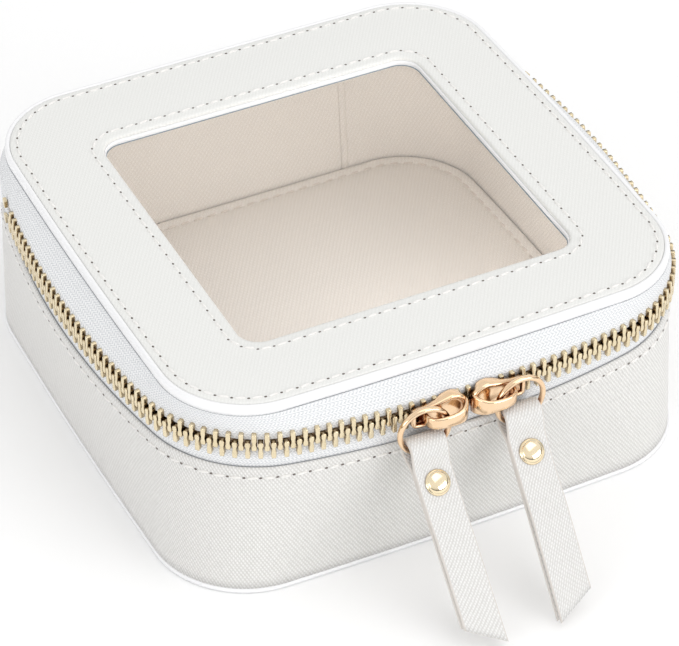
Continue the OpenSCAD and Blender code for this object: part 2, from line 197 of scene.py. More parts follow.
def running(points, wrap=False):
    """Distance along a row of points, from its first."""
    if wrap:
        points = np.vstack([points, points[:1]])
    steps = np.linalg.norm(np.diff(points, axis=0), axis=1)
    return np.concatenate([[0], np.cumsum(steps)])


def make_mesh(name, verts, faces, grain=None, smooth=True):
    """Mesh from points in millimetres; grain gives each face corner its place in the leather's grain."""
    data = bpy.data.meshes.new(name)
    data.from_pydata((np.array(verts, float) * MM).tolist(), [], faces)
    if grain is not None:
        layer = data.attributes.new("grain", "FLOAT_VECTOR", "CORNER")
        flat = np.zeros((len(data.loops), 3), np.float32)
        flat[:, :2] = np.array(grain, np.float32)
        layer.data.foreach_set("vector", flat.ravel())
    work = bmesh.new()
    work.from_mesh(data)
    bmesh.ops.recalc_face_normals(work, faces=work.faces)
    work.to_mesh(data)
    work.free()
    data.polygons.foreach_set("use_smooth", [smooth] * len(data.polygons))
    data.update()
    obj = bpy.data.objects.new(name, data)
    bpy.context.scene.collection.objects.link(obj)
    return obj


def finish_piece(obj, body, slot, *nodes, material):
    """Give a piece its material and its body, in place of the named CAD nodes; the slot is not used."""
    obj.data.materials.append(material)
    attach(obj, body)
    if nodes:
        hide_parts(*nodes)


def loft(name, rings, wrap=True, closed=True, fill=(), planar=False):
    """Surface through rings of points; closed joins the last ring to the first."""
    rings = [np.array(ring, float) for ring in rings]
    k, n = len(rings), len(rings[0])
    verts = np.vstack(rings)
    along = running(rings[k // 2], wrap)
    middle = n // 2
    across = running(np.array([ring[middle] for ring in rings]), closed)
    faces, grain = [], []
    for j in range(k if closed else k - 1):
        nj = (j + 1) % k
        for i in range(n if wrap else n - 1):
            ni = (i + 1) % n
            quad = (j * n + i, j * n + ni, nj * n + ni, nj * n + i)
            faces.append(quad)
            if planar:
                grain += [tuple(verts[v][:2]) for v in quad]
            else:
                grain += [(along[i], across[j]), (along[i + 1], across[j]),
                          (along[i + 1], across[j + 1]), (along[i], across[j + 1])]
    for j in fill:
        faces.append(tuple(j * n + i for i in range(n)))
        grain += [tuple(verts[j * n + i][:2]) for i in range(n)]
    if not wrap and closed:
        for i in (0, n - 1):
            faces.append(tuple(j * n + i for j in range(k)))
            grain += [(along[i], across[j]) for j in range(k)]
    return make_mesh(name, verts, faces, grain)


def copies(name, template, frames):
    """One mesh from many placed copies of a template (verts, faces)."""
    verts0, faces0 = template
    verts, faces = [], []
    for index, place in enumerate(frames):
        base = index * len(verts0)
        verts.append(verts0 @ place[:3, :3].T + place[:3, 3])
        faces += [tuple(base + v for v in face) for face in faces0]
    return make_mesh(name, np.vstack(verts), faces)


def frame_at(origin, x, y, z):
    """Matrix that places a template at origin along the axes x, y and z."""
    place = np.eye(4)
    place[:3, 0], place[:3, 1], place[:3, 2], place[:3, 3] = x, y, z, origin
    return place


def unit(v):
    v = np.array(v, float)
    return v / np.linalg.norm(v)


def resample(points, pitch):
    """Evenly spaced points and directions along a closed row of points."""
    dist = running(points, True)
    points = np.vstack([points, points[:1]])
    count = max(2, round(dist[-1] / pitch))
    places = (np.arange(count) + 0.5) * dist[-1] / count

    def along(where):
        return np.column_stack([np.interp(where, dist, points[:, c]) for c in range(3)])

    return along(places), along(np.minimum(places + 0.3, dist[-1])) - along(places - 0.3)


# ---- materials ----


class Shader:
    """Small helper that adds nodes to a material's tree."""

    def __init__(self, name):
        self.material = bpy.data.materials.new(name)
        self.material.use_nodes = True
        self.tree = self.material.node_tree
        self.shader = self.tree.nodes["Principled BSDF"]

    def node(self, kind, inputs=None, **settings):
        node = self.tree.nodes.new(kind)
        for key, value in settings.items():
            setattr(node, key, value)
        for key, value in (inputs or {}).items():
            self.set(node.inputs[key], value)
        return node

    def set(self, socket, value):
        if isinstance(value, bpy.types.NodeSocket):
            self.tree.links.new(value, socket)
        else:
            socket.default_value = value

    def math(self, operation, *values):
        node = self.node("ShaderNodeMath", operation=operation)
        for socket, value in zip(node.inputs, values):
            self.set(socket, value)
        return node.outputs[0]

    def mix(self, factor, a, b):
        node = self.node("ShaderNodeMix", data_type="RGBA")
        for key, value in ((0, factor), (6, a), (7, b)):
            self.set(node.inputs[key], value)
        return node.outputs[2]

    def bump(self, height, strength, distance):
        node = self.node("ShaderNodeBump", {"Height": height, "Strength": strength, "Distance": distance})
        return node.outputs[0]

    def clamp(self, value):
        return self.node("ShaderNodeClamp", {"Value": value}).outputs[0]

    def grain(self):
        return self.node("ShaderNodeAttribute", attribute_name="grain").outputs["Vector"]

    def place(self):
        return self.node("ShaderNodeTexCoord").outputs["Object"]

    def noise(self, vector, scale, detail=2.0):
        node = self.node("ShaderNodeTexNoise", {"Vector": vector, "Scale": scale, "Detail": detail})
        return node.outputs["Fac"]

    def bands(self, vector, angle, period, distortion):
        turned = self.node("ShaderNodeMapping", {"Vector": vector, "Rotation": (0, 0, math.radians(angle))})
        wave = self.node("ShaderNodeTexWave", {
            "Vector": turned.outputs[0], "Scale": 0.314159 / period, "Distortion": distortion,
            "Detail": 2.0, "Detail Scale": 1.5}, wave_type="BANDS", bands_direction="X")
        return wave.outputs["Fac"]

    def put(self, **inputs):
        for key, value in inputs.items():
            self.set(self.shader.inputs[key.replace("_", " ")], value)
        return self.material


def rgb(r, g, b):
    return (r, g, b, 1.0)


def saffiano(name, light, dark, period, depth, roughness=0.42):
    """Cross-hatched leatherette: two crossing families of fine pressed lines, one stronger."""
    s = Shader(name)
    grain = s.grain()
    first = s.bands(grain, 33, period, 1.4)
    second = s.bands(grain, -33, period, 1.4)
    cross = s.math("MINIMUM", first, second)
    lines = s.math("ADD", s.math("MULTIPLY", first, 0.32), s.math("MULTIPLY", cross, 0.68))
    patch = s.noise(grain, 0.9, 3.0)
    speck = s.noise(grain, 9.0, 2.0)
    height = s.math("ADD", lines, s.math("MULTIPLY", patch, 0.35))
    height = s.math("ADD", height, s.math("MULTIPLY", speck, 0.25))
    tone = s.math("ADD", s.math("MULTIPLY", lines, 0.75), s.math("MULTIPLY", patch, 0.35))
    color = s.mix(s.clamp(tone), dark, light)
    rough = s.math("ADD", s.math("MULTIPLY", patch, 0.12), roughness - 0.06)
    return s.put(Base_Color=color, Roughness=rough, Specular_IOR_Level=0.42,
                 Normal=s.bump(height, 0.75, depth * MM))


def smooth_leather(name, light, dark, roughness=0.33):
    """Folded or painted leather edge: fine pores over a slow drift of tone."""
    s = Shader(name)
    place = s.place()
    fine = s.noise(place, 2600.0, 3.0)
    broad = s.noise(place, 140.0, 2.0)
    return s.put(Base_Color=s.mix(broad, dark, light), Roughness=roughness,
                 Normal=s.bump(fine, 0.25, 0.03 * MM))


def woven(name, light, dark):
    """Zip tape: narrow herringbone ribs with a little fibre noise, the weave's low parts painted blue-grey
    as shade.
    """
    s = Shader(name)
    grain = s.grain()
    split = s.node("ShaderNodeSeparateXYZ", {"Vector": grain})
    fold = s.math("PINGPONG", split.outputs["Y"], 0.7)
    slant = s.math("ADD", split.outputs["X"], s.math("MULTIPLY", fold, 1.1))
    ribs = s.math("SINE", s.math("MULTIPLY", slant, 2 * math.pi / 0.8))
    rows = s.math("SINE", s.math("MULTIPLY", split.outputs["Y"], 2 * math.pi / 0.7))
    fibre = s.noise(grain, 7.0, 3.0)
    height = s.math("ADD", s.math("MULTIPLY", ribs, 0.5), s.math("MULTIPLY", rows, 0.25))
    height = s.math("ADD", height, s.math("MULTIPLY", fibre, 1.6))
    # Painted shade: the weave's low parts take the blue-grey dark colour, mixed with fibre noise.
    tone = s.clamp(s.math("ADD", s.math("MULTIPLY", height, 0.6), 0.18))
    s.put(Sheen_Weight=0.25, Sheen_Roughness=0.5)
    return s.put(Base_Color=s.mix(tone, dark, light), Roughness=0.85,
                 Normal=s.bump(height, 0.7, 0.09 * MM))


def metal(name, bright, deep, crevice_shade, roughness, scratch=0.25):
    """Polished plated metal with slight colour drift and fine wear; crevices and recesses are darkened with
    painted shade.
    """
    s = Shader(name)
    place = s.place()
    drift = s.noise(place, 260.0, 2.0)
    wear = s.noise(place, 3200.0, 4.0)
    rough = s.math("ADD", s.math("MULTIPLY", wear, 0.1), roughness)
    # Painted shade: an ambient occlusion mask pulls the colour towards the dark shade colour in recesses
    # and between parts.
    crevice = s.node("ShaderNodeAmbientOcclusion", {"Distance": 0.0016}, samples=6).outputs["AO"]
    open_side = s.math("POWER", crevice, 1.7)
    tone = s.mix(open_side, crevice_shade, s.mix(drift, deep, bright))
    return s.put(Base_Color=tone, Metallic=1.0, Roughness=rough,
                 Normal=s.bump(wear, scratch, 0.006 * MM))


def thread_material(name, light, dark):
    """Sewing thread: a fine twist and a soft sheen."""
    s = Shader(name)
    place = s.place()
    twist = s.noise(place, 4200.0, 2.0)
    s.put(Sheen_Weight=0.3)
    return s.put(Base_Color=s.mix(twist, dark, light), Roughness=0.7,
                 Normal=s.bump(twist, 0.6, 0.05 * MM))


def plain(name, light, dark, roughness, scale=900.0, strength=0.5):
    """Dull surface with a speckle: board, foam, the painted shade in each needle hole and painted shadow
    lines.
    """
    s = Shader(name)
    place = s.place()
    grit = s.noise(place, scale, 4.0)
    return s.put(Base_Color=s.mix(grit, dark, light), Roughness=roughness,
                 Normal=s.bump(grit, strength, 0.05 * MM))


def clear_sheet(name):
    """Clear plastic sheet: almost see-through, with a soft gloss and faint waviness."""
    s = Shader(name)
    place = s.place()
    wave = s.noise(place, 45.0, 1.0)
    s.put(Base_Color=rgb(0.93, 0.965, 0.98), Alpha=0.05, Roughness=0.06, Specular_IOR_Level=0.5)
    return s.put(Normal=s.bump(wave, 0.12, 0.4 * MM))


LEATHER = saffiano("ivory_saffiano", rgb(0.90, 0.895, 0.88), rgb(0.60, 0.585, 0.56), 0.66, 0.13)
PANEL_LEATHER = saffiano("panel_saffiano", rgb(0.845, 0.845, 0.825), rgb(0.785, 0.785, 0.76), 0.7, 0.06)
STRAP_LEATHER = saffiano("strap_saffiano", rgb(0.875, 0.87, 0.86), rgb(0.58, 0.565, 0.545), 0.6, 0.12)
LINING = saffiano("cream_lining", rgb(0.94, 0.89, 0.835), rgb(0.85, 0.785, 0.715), 0.8, 0.045, 0.5)
RIM_LEATHER = smooth_leather("folded_edge", rgb(0.925, 0.925, 0.935), rgb(0.88, 0.88, 0.89))
EDGE_PAINT = smooth_leather("painted_edge", rgb(0.74, 0.70, 0.66), rgb(0.62, 0.58, 0.54), 0.6)
# The tape's second colour is the painted blue-grey shade in the weave's low parts.
TAPE = woven("zip_tape_weave", rgb(0.95, 0.955, 0.96), rgb(0.56, 0.58, 0.61))
# The third colour of each metal is the painted shade for its crevices and recesses.
BRASS = metal("pale_brass", rgb(0.90, 0.79, 0.57), rgb(0.76, 0.64, 0.42), rgb(0.30, 0.21, 0.12), 0.22)
ROSE = metal("rose_gold", rgb(0.96, 0.74, 0.51), rgb(0.90, 0.62, 0.38), rgb(0.26, 0.08, 0.03), 0.07, 0.12)
RIVET_GOLD = metal("rivet_gold", rgb(0.96, 0.84, 0.62), rgb(0.90, 0.74, 0.48), rgb(0.45, 0.30, 0.14),
                   0.07, 0.1)
THREAD = thread_material("white_thread", rgb(0.93, 0.92, 0.90), rgb(0.78, 0.76, 0.73))
CREAM_THREAD = thread_material("cream_thread", rgb(0.88, 0.80, 0.73), rgb(0.68, 0.58, 0.50))
# Painted shade: near-black dots stand in for the shade inside each needle hole.
HOLE_SHADE = plain("painted_hole_shade", rgb(0.20, 0.17, 0.15), rgb(0.12, 0.10, 0.09), 0.9)
BOARD = plain("grey_board", rgb(0.58, 0.56, 0.53), rgb(0.45, 0.43, 0.40), 0.9)
FOAM = plain("cream_foam", rgb(0.86, 0.83, 0.76), rgb(0.70, 0.66, 0.58), 0.9, 1500.0)
# Painted shadow: thin dark cords stand in for the shade where the tape meets the rim and the mouth.
SHADOW_LINE = plain("painted_shadow_line", rgb(0.30, 0.31, 0.33), rgb(0.22, 0.23, 0.25), 0.8)
# Painted shadow: a dark blue-grey cord stands in for the shade where the sheet meets the frame.
WINDOW_SHADOW_LINE = plain("painted_window_shadow", rgb(0.24, 0.30, 0.35), rgb(0.18, 0.23, 0.27), 0.5)
CLEAR = clear_sheet("clear_sheet")

# ---- camera, lights and floor ----


def add_camera():
    """Camera in front and to the left, looking down at the box from a short distance."""
    data = bpy.data.cameras.new("camera")
    camera = bpy.data.objects.new("camera", data)
    bpy.context.scene.collection.objects.link(camera)
    azimuth, elevation, roll = math.radians(-26.39), math.radians(39.57), math.radians(0.16)
    distance = 0.7063
    back = Vector((math.sin(azimuth) * math.cos(elevation),
                   -math.cos(azimuth) * math.cos(elevation), math.sin(elevation)))
    target = Vector((-0.00597, -0.01587, 0.025))
    camera.rotation_mode = "QUATERNION"
    turn = (-back).to_track_quat("-Z", "Y")
    camera.rotation_quaternion = turn @ Matrix.Rotation(roll, 3, "Z").to_quaternion()
    camera.location = target + back * distance
    data.sensor_width = 36.0
    data.lens = 180.06
    data.clip_start = 0.05
    data.clip_end = 20.0
    bpy.context.scene.camera = camera


def add_area(name, place, target, size, power, mirrored=True):
    """Soft rectangular lamp; mirrored says whether polished metal shows it."""
    data = bpy.data.lights.new(name, "AREA")
    data.shape = "RECTANGLE"
    data.size, data.size_y = size
    data.energy = power
    light = bpy.data.objects.new(name, data)
    light.location = place
    light.rotation_mode = "QUATERNION"
    light.rotation_quaternion = (Vector(target) - Vector(place)).to_track_quat("-Z", "Y")
    light.visible_camera = False
    light.visible_transmission = False
    light.visible_glossy = mirrored
    bpy.context.scene.collection.objects.link(light)


def add_world():
    """Studio surroundings: dark below the table's edge, bright from there up."""
    world = bpy.data.worlds.new("studio")
    bpy.context.scene.world = world
    world.use_nodes = True
    tree = world.node_tree
    background = tree.nodes["Background"]
    place = tree.nodes.new("ShaderNodeTexCoord")
    split = tree.nodes.new("ShaderNodeSeparateXYZ")
    ramp = tree.nodes.new("ShaderNodeValToRGB")
    stops = ((0.0, 0.10), (0.10, 0.16), (0.2, 0.75), (0.34, 1.0), (0.62, 1.05), (0.8, 0.95), (1.0, 1.0))
    elements = ramp.color_ramp.elements
    for position, tone in stops[1:-1]:
        elements.new(position)
    for element, (position, tone) in zip(elements, stops):
        element.color = rgb(tone, tone, tone)
    tree.links.new(place.outputs["Generated"], split.inputs[0])
    tree.links.new(split.outputs["Z"], ramp.inputs[0])
    tree.links.new(ramp.outputs[0], background.inputs["Color"])
    background.inputs["Strength"].default_value = 0.9


def add_floor():
    """Pale paper floor, a hair below the feet of the case."""
    reach = 3000
    corners = [(-reach, -reach, 0), (reach, -reach, 0), (reach, reach, 0), (-reach, reach, 0)]
    floor = make_mesh("floor", corners, [(0, 1, 2, 3)], smooth=False)
    paper = plain("floor_paper", rgb(1.0, 1.0, 1.0), rgb(0.985, 0.985, 0.985), 0.9, 8.0, 0.0)
    floor.data.materials.append(paper)
    floor.location.z = -0.0002


# ---- case ----


def build_bottom():
    """Panel under the case, its rounded edge standing out as a lip."""
    profile = [(1.2, 0.0), (0.1, 0.0), (-0.2, 0.12), (-LIP, 0.4), (-LIP, 0.75), (-0.15, 0.95),
               (0.1, COVER_T)]
    rings = [at_height(wall_ring(0, inset)[:, :2], z) for inset, z in profile]
    obj = loft("bottom_panel", rings, closed=False, fill=(0, len(rings) - 1))
    finish_piece(obj, "case", "leatherette", "bottom_cover", material=RIM_LEATHER)


def build_wall():
    """Outer skin, turned in over the board at the mouth."""
    heights = np.linspace(COVER_T + 0.05, WALL_H - 0.8, 14)
    profile = [(0.0, z) for z in heights]
    profile += [(0.0, WALL_H - 0.45), (0.12, WALL_H - 0.14), (0.38, WALL_H), (0.64, WALL_H - 0.1),
                (LEATHER_T - 0.02, WALL_H - 0.35), (LEATHER_T - 0.02, COVER_T + 0.05)]
    rings = [wall_ring(z, inset) for inset, z in profile]
    obj = loft("wall_skin", rings)
    finish_piece(obj, "case", "leatherette", "outer_wall", material=LEATHER)


def build_lining():
    """Lining turned out over the board's top, and the lap where its ends meet."""
    inner = LEATHER_T + BOARD_T + LINING_T + 0.1
    heights = np.linspace(FLOOR_Z + 0.1, BOARD_TOP - 0.4, 10)
    profile = [(inner, z) for z in heights]
    profile += [(inner - 0.1, BOARD_TOP + 0.1), (inner - 0.45, BOARD_TOP + 0.4),
                (LEATHER_T + 0.7, BOARD_TOP + 0.5), (LEATHER_T + 0.05, BOARD_TOP + 0.3),
                (LEATHER_T + 0.05, BOARD_TOP + 0.05), (inner - LINING_T + 0.02, BOARD_TOP + 0.05),
                (inner - LINING_T + 0.02, FLOOR_Z + 0.1)]
    rings = [wall_ring(z, inset) for inset, z in profile]
    obj = loft("wall_lining_skin", rings)
    finish_piece(obj, "case", "lining", "wall_lining", material=LINING)
    x0, x1 = low("lining_seam")[0], high("lining_seam")[0] + 0.3
    lap = []
    for z in np.linspace(FLOOR_Z + 1.5, BOARD_TOP - 0.1, 12):
        back = wall_ring(z, inner)[:, 1].max()
        lap.append([(x0, back - 0.02, z), (x0 + 0.15, back - 0.22, z), (x0 + 0.5, back - 0.4, z),
                    (x1 - 0.6, back - 0.4, z), (x1 - 0.1, back - 0.15, z), (x1, back - 0.02, z)])
    seam = loft("lining_lap", lap, closed=False, fill=(0, len(lap) - 1))
    finish_piece(seam, "case", "lining", "lining_seam", material=LINING)


def build_floor_pad():
    """Padded floor: crowned lining over foam, pulled down along its stitched row."""
    edge = LEATHER_T + BOARD_T + LINING_T + 0.2
    groove = FLOOR_ROW_INSET
    crown, dome = 0.42, 0.12
    shape = [(0.0, FLOOR_Z + 1.1), (0.0, PAD_TOP - 0.1), (0.18, PAD_TOP + 0.06), (0.7, PAD_TOP + 0.14),
             (groove - 0.9, PAD_TOP + 0.1), (groove - 0.3, PAD_TOP - 0.12),
             (groove, PAD_TOP - 0.2), (groove + 0.3, PAD_TOP - 0.12), (groove + 1.2, PAD_TOP + 0.2),
             (groove + 4.0, PAD_TOP + crown)]
    rings = [at_height(wall_ring(PAD_TOP, edge + inset)[:, :2], z) for inset, z in shape]
    last = rings[-1]
    for f in (0.8, 0.6, 0.4, 0.2, 0.06):
        rings.append(at_height(last[:, :2] * f, PAD_TOP + crown + dome * (1 - f)))
    rings = [at_height(rings[0][:, :2] * 0.98, FLOOR_Z + 1.1)] + rings
    obj = loft("floor_pad", rings, closed=False, fill=(0, len(rings) - 1), planar=True)
    finish_piece(obj, "case", "lining", "floor_lining", material=LINING)
    row = at_height(wall_ring(PAD_TOP, edge + groove)[:, :2], PAD_TOP - 0.14)
    stitches("floor_stitch_row", row, (0, 0, 1), "case", "floor_stitching", CREAM_THREAD, shaded_holes=False,
             size=(2.3, 0.5, 0.3))


# ---- stitches ----


def ball(subdivisions):
    """Points and faces of a unit ball, for use as a template."""
    work = bmesh.new()
    bmesh.ops.create_icosphere(work, subdivisions=subdivisions, radius=1.0)
    verts = np.array([v.co for v in work.verts])
    faces = [tuple(v.index for v in face.verts) for face in work.faces]
    work.free()
    return verts, faces


def stitches(name, row, normal, body, node, material, shaded_holes=True, size=(2.3, 0.56, 0.34)):
    """A row of leaning stitches with a dark dot of painted shade for the needle hole between neighbours;
    normal may be a function.
    """
    at, direction = resample(np.array(row), STITCH_PITCH)
    verts, faces = ball(2)
    verts[:, 0] = np.sign(verts[:, 0]) * np.abs(verts[:, 0]) ** 0.75
    threads, shade_dots = [], []
    for p, d in zip(at, direction):
        n = unit(normal(p) if callable(normal) else normal)
        x = unit(d - n * np.dot(d, n))
        y = np.cross(n, x)
        lean = math.radians(7 + rng.uniform(-2, 2))
        xl = x * math.cos(lean) + y * math.sin(lean)
        yl = np.cross(n, xl)
        half = size[0] / 2 * rng.uniform(0.94, 1.03)
        threads.append(frame_at(p + n * 0.02, xl * half, yl * size[1] / 2, n * size[2]))
        # Each needle hole gets a dark dot of painted shade; no hole is cut.
        if shaded_holes:
            shade_dots.append(frame_at(p + x * STITCH_PITCH / 2, x * 0.36, y * 0.26, n * 0.07))
    obj = copies(name, (verts, faces), threads)
    finish_piece(obj, body, "thread", node, material=material)
    if shaded_holes:
        dots = copies(name + "_holes", ball(1), shade_dots)
        finish_piece(dots, body, "thread", material=HOLE_SHADE)


def build_wall_stitches():
    """Row below the mouth, each stitch facing straight out of the wall."""
    z = WALL_H - WALL_ROW_DROP
    ring = wall_ring(z, -0.02)
    near = wall_ring(z, -1.0)

    def normal(p):
        index = np.argmin(np.linalg.norm(ring - p, axis=1))
        return near[index] - ring[index]

    stitches("wall_stitch_row", ring, normal, "case", "wall_stitching", THREAD)


def build_lid_stitches():
    """One row along the lid's edge and one round the window."""
    outer = lid_ring(LID_TOP + 0.02, LID_ROW_INSET)
    stitches("lid_stitch_row", outer, (0, 0, 1), "lid", "lid_stitching", THREAD)
    inner = window_ring(LID_TOP + 0.02, -WINDOW_ROW_OUT)
    stitches("window_stitch_row", inner, (0, 0, 1), "lid", "window_stitching", THREAD)


# ---- lid ----


def build_lid_cover():
    """Frame panel: rounded at the outer edge, gently domed, folded down into the window."""
    outer = 1.12
    rings = [lid_ring(LID_BOARD_TOP + 0.05, outer), lid_ring(LID_TOP - 0.3, outer),
             lid_ring(LID_TOP - 0.08, outer + 0.12), lid_ring(LID_TOP, outer + 0.4)]
    a, b = lid_ring(LID_TOP, outer + 0.9), window_ring(LID_TOP, -0.9)
    for f in np.linspace(0, 1, 9):
        ring = mix(a, b, f)
        ring[:, 2] = LID_TOP + 0.12 * math.sin(math.pi * f)
        rings.append(ring)
    rings += [window_ring(LID_TOP - 0.03, -0.5), window_ring(LID_TOP - 0.16, -0.2),
              window_ring(LID_TOP - 0.42, -0.03), window_ring(LID_TOP - 0.8, 0),
              window_ring(WINDOW_TOP + 0.05, 0), window_ring(WINDOW_TOP + 0.05, -0.26),
              window_ring(LID_BOARD_TOP + 0.05, -0.26)]
    obj = loft("lid_panel", rings, planar=True)
    finish_piece(obj, "lid", "leatherette", "lid_cover", material=PANEL_LEATHER)
    edge_rings = [window_ring(z, inset) for inset, z in (
        (0.02, LID_TOP - 0.75), (0.22, LID_TOP - 0.85), (0.3, LID_TOP - 1.2), (0.3, WINDOW_TOP + 0.25),
        (0.22, WINDOW_TOP + 0.03), (0.02, WINDOW_TOP + 0.03))]
    edge = loft("window_edge", edge_rings)
    finish_piece(edge, "lid", "leatherette", material=RIM_LEATHER)


def build_lid_rim():
    """Folded leather bead round the lid's edge."""
    profile = [(0.95, RIM_Z + 0.02), (0.35, RIM_Z), (0.08, RIM_Z + 0.2), (-0.02, RIM_Z + 0.6),
               (-0.02, LID_TOP - 0.75), (0.08, LID_TOP - 0.3), (0.32, LID_TOP - 0.06),
               (0.62, LID_TOP + 0.02), (0.9, LID_TOP - 0.08), (1.08, LID_TOP - 0.3), (1.1, RIM_Z + 0.4)]
    obj = loft("lid_bead", [lid_ring(z, inset) for inset, z in profile])
    finish_piece(obj, "lid", "leatherette", "lid_rim", material=RIM_LEATHER)


def build_lines():
    """Thin dark cords painted as shadow lines: tape under the rim, tape behind the mouth, sheet under the
    frame.
    """
    circle = arc(0, 0, SHADOW_LINE_R, 0, 360, 8)[:-1]
    mouth = WALL_H - 0.12
    # Dark cords painted as the shadow under the rim and behind the mouth.
    seam = loft("rim_shadow_line", [lid_ring(RIM_Z - 0.02 + dz, 0.12 + dx) for dx, dz in circle])
    finish_piece(seam, "lid", "leatherette", material=SHADOW_LINE)
    rings = [at_height(wall_ring(WALL_H, LEATHER_T - 0.1 + dx)[:, :2], mouth + dz) for dx, dz in circle]
    finish_piece(loft("mouth_shadow_line", rings), "case", "leatherette", material=SHADOW_LINE)
    # Dark blue-grey cord painted as the shadow where the sheet meets the frame.
    seam = loft("window_shadow_line", [window_ring(WINDOW_TOP + 0.16 + dz, 0.36 + dx) for dx, dz in circle])
    finish_piece(seam, "lid", "leatherette", material=WINDOW_SHADOW_LINE)


def build_window():
    """Clear sheet with square edges under the frame panel."""
    rings = [window_ring(z, 0, WINDOW_OUT) for z in (WINDOW_LOW + 0.02, WINDOW_TOP - 0.02)]
    obj = loft("window_sheet", rings, closed=False, fill=(0, 1), planar=True)
    obj.data.polygons.foreach_set("use_smooth", [False] * len(obj.data.polygons))
    finish_piece(obj, "lid", "clear_sheet", "window", material=CLEAR)


# ---- zip ----

def tape_rings(sign):
    """Profile of a tape from its sewn edge to its free edge and back on the inside."""
    if sign < 0:
        sewn, bend = WALL_H, ZIP_Z - TAPE_STRAIGHT
        heights = [sewn - 1.0, sewn + 0.2, mix(sewn, bend, 0.5), bend]
    else:
        sewn, bend = RIM_Z, ZIP_Z + TAPE_STRAIGHT
        heights = [sewn + 0.25, sewn - 0.3, mix(sewn, bend, 0.33), mix(sewn, bend, 0.66), bend + 0.4, bend]

    def free_edge(inset, lift):
        ring = tape_ring(ZIP_Z, inset)
        ends = np.where(ring[:, 0] < 0, TEETH_END_Y[-1], TEETH_END_Y[1])
        f = smoothstep(np.clip((ring[:, 1] - ends - 1) / 4, 0, 1))
        ring[:, 2] = ZIP_Z + sign * (mix(TAPE_EDGE, 0.12, f) + lift)
        return ring

    outside = [tape_ring(z, 0.05 if k == 0 else 0.0) for k, z in enumerate(heights)]
    inside = [tape_ring(z, TAPE_T) for z in heights]
    tip = [free_edge(0.0, 0.35), free_edge(0.12, 0.05), free_edge(TAPE_T / 2, 0.0),
           free_edge(TAPE_T - 0.12, 0.05), free_edge(TAPE_T, 0.35)]
    rings = outside + tip + inside[::-1]
    open_count = len(rings[0]) - (BACK_STEPS - 1)
    return [ring[:open_count] for ring in rings]


def build_tapes():
    lower = loft("lower_tape_weave", tape_rings(-1), wrap=False)
    finish_piece(lower, "case", "zip_tape", "lower_tape", material=TAPE)
    upper = loft("upper_tape_weave", tape_rings(1), wrap=False)
    finish_piece(upper, "lid", "zip_tape", "upper_tape", material=TAPE)


def tooth_template():
    """One tooth seen from outside: a wide foot on the tape, a waist and a rounded head."""
    depth = 1.25
    half = [(0.4, -3.0), (0.48, -2.7), (0.5, -1.5), (0.38, -0.95), (0.38, -0.4), (0.54, 0.0),
            (0.54, 0.65), (0.36, 1.0)]
    shape = half + [(-x, z) for x, z in half[::-1]]
    work = bmesh.new()
    front = [work.verts.new((x, -depth, z)) for x, z in shape]
    back = [work.verts.new((x, depth, z)) for x, z in shape]
    work.faces.new(front)
    work.faces.new(back[::-1])
    n = len(shape)
    for i in range(n):
        work.faces.new([front[i], back[i], back[(i + 1) % n], front[(i + 1) % n]])
    bmesh.ops.recalc_face_normals(work, faces=work.faces)
    rims = [e for e in work.edges if abs(e.verts[0].co.y - e.verts[1].co.y) < 0.01]
    bmesh.ops.bevel(work, geom=rims, offset=0.17, segments=2, profile=0.6, affect="EDGES")
    for v in work.verts:
        if v.co.z < -1.6 and abs(v.co.y) > 0.9:
            v.co.y *= 0.96
    verts = np.array([v.co for v in work.verts])
    faces = [tuple(v.index for v in face.verts) for face in work.faces]
    work.free()
    return verts, faces


def zip_place(s):
    """Point and turn at the distance s along the zip from the middle of the front."""
    big = (ZIP_HALF - ZIP_R) ** 2 / (2 * ZIP_BOW)
    a = ((ZIP_HALF - big) + math.sqrt(2 * (big - ZIP_R) ** 2 - (ZIP_HALF - big) ** 2)) / 2
    t = math.atan2(a, a + big - ZIP_HALF)
    d, side = abs(s), (-1 if s < 0 else 1)
    front, corner = big * t, ZIP_R * (math.pi / 2 - 2 * t)
    if d <= front:
        w = d / big
        x, y = big * math.sin(w), big - ZIP_HALF - big * math.cos(w)
    elif d <= front + corner:
        w = t + (d - front) / ZIP_R
        x, y = a + ZIP_R * math.sin(w), -a - ZIP_R * math.cos(w)
    else:
        w = math.pi / 2 - t + (d - front - corner) / big
        x, y = ZIP_HALF - big + big * math.sin(w), -big * math.cos(w)
    return side * x, y, side * w


def zip_frame(s, z=0.0):
    """Axes along the zip, inwards and up, at the distance s along it and z above its middle."""
    x, y, w = zip_place(s)
    tangent = np.array([math.cos(w), math.sin(w), 0])
    inward = np.array([-math.sin(w), math.cos(w), 0])
    return frame_at(np.array([x, y, ZIP_Z + z]), tangent, inward, np.array([0, 0, 1.0]))


def tooth_count(side):
    """Teeth between the middle of the front and the end of the row on one side."""
    count = 0
    while zip_place(side * (count + 1) * TOOTH_PITCH)[1] < TEETH_END_Y[side]:
        count += 1
    return count


def build_teeth():
    """Two rows of teeth, half a pitch apart, the upper row upside down."""
    verts, faces = tooth_template()
    for up, shift, name, body in ((1, 0.25, "lower_teeth", "case"), (-1, 0.75, "upper_teeth", "lid")):
        places = [zip_frame((i + shift) * TOOTH_PITCH, rng.uniform(-0.04, 0.04))
                  for i in range(-tooth_count(-1), tooth_count(1))]
        obj = copies(name + "_row", (verts * [1, 1, up], faces), places)
        finish_piece(obj, body, "zip_teeth", name, material=BRASS)


